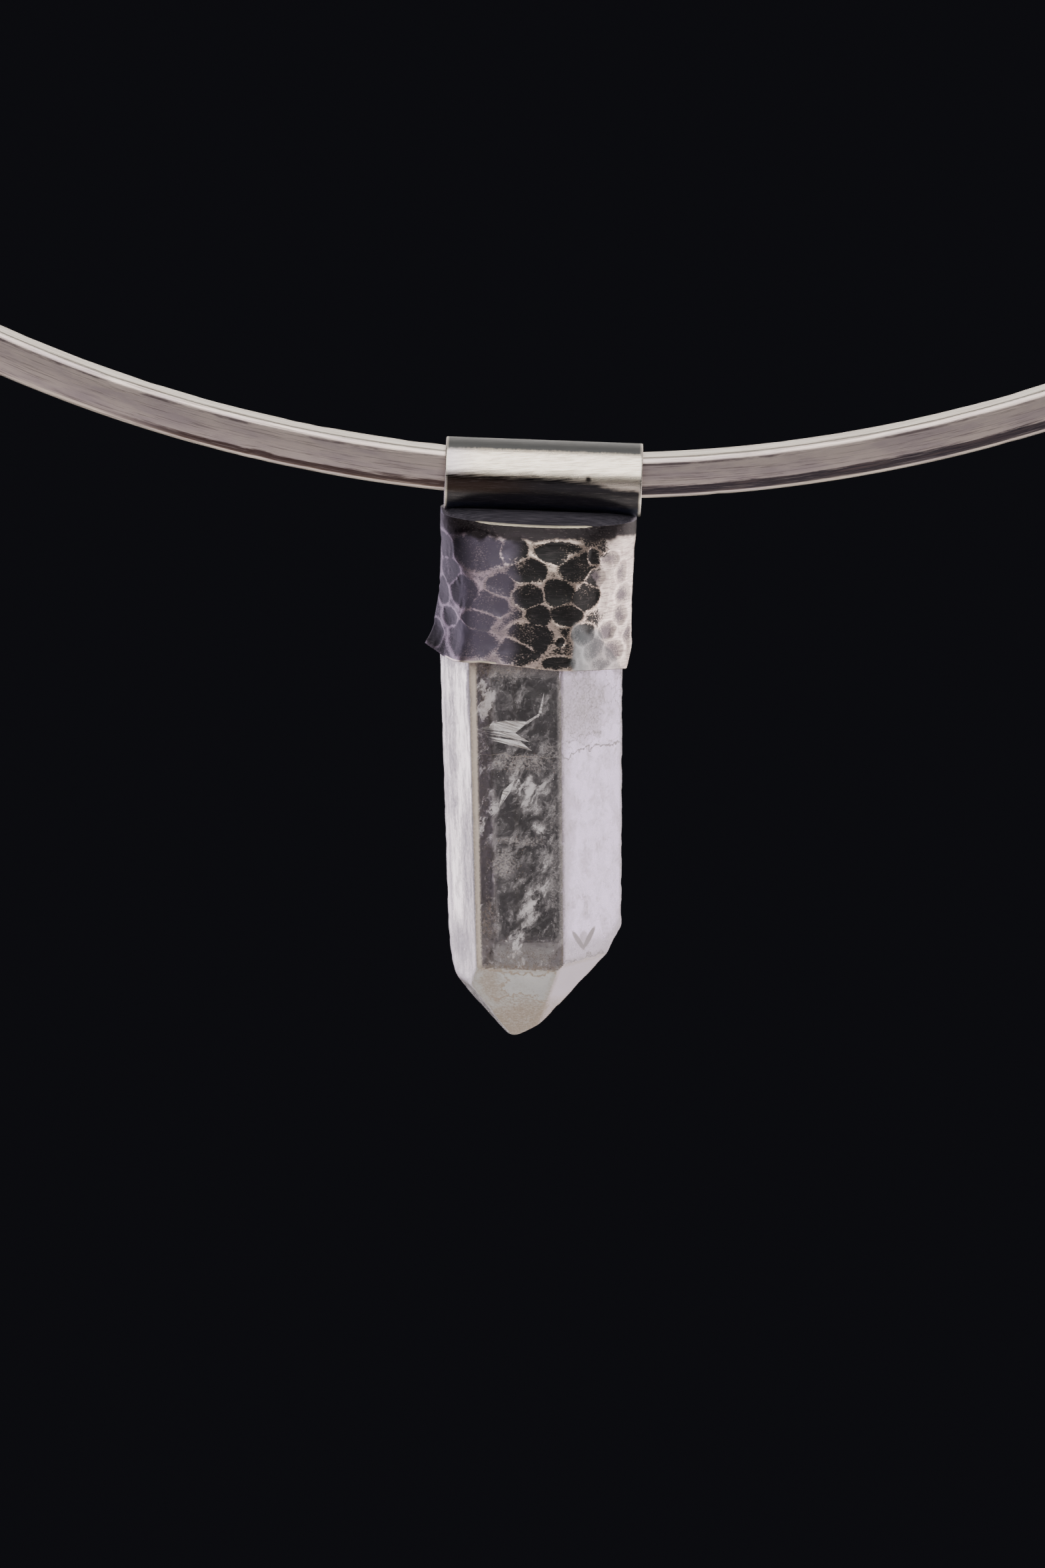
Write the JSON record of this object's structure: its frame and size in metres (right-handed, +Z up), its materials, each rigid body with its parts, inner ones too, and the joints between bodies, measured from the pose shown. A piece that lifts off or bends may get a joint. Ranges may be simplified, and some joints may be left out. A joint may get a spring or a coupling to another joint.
{
  "type": "crystal point pendant on a rigid neck ring",
  "caption": "Pale quartz crystal point in a hammered, darkened silver cap with a tube bail, swinging on a rigid oval neck ring of square silver bar.",
  "frame": {"origin": "inside face of the clasp sleeve, at the middle of the ring's back, where the back of a neck carries it", "axes": "+Z up, with the ring in the XZ plane and the pendant at its lowest point; -Y is the front that the picture shows; +X is to the right seen from the front"},
  "size_m": [0.1472, 0.0114, 0.1493],
  "materials": {
    "silver_bar": "rubbed silver with a warm grey tarnish and lengthwise scratches",
    "silver_darkened": "hammered silver, darkened in the marks and rubbed bright on the ridges",
    "quartz": "natural crystal faces, clear to milky"
  },
  "bodies": {
    "ring": {"neck_ring": "silver_bar", "clasp_sleeve": "silver_bar"},
    "pendant": {"cap_bail": "silver_darkened", "crystal_point": "quartz"}
  },
  "joints": [
    {"name": "pendant_swing", "type": "hinge", "parent": "ring", "child": "pendant", "pos_m": [0, 0, -0.11099], "axis": [1, 0, 0], "continuous": true}
  ]
}
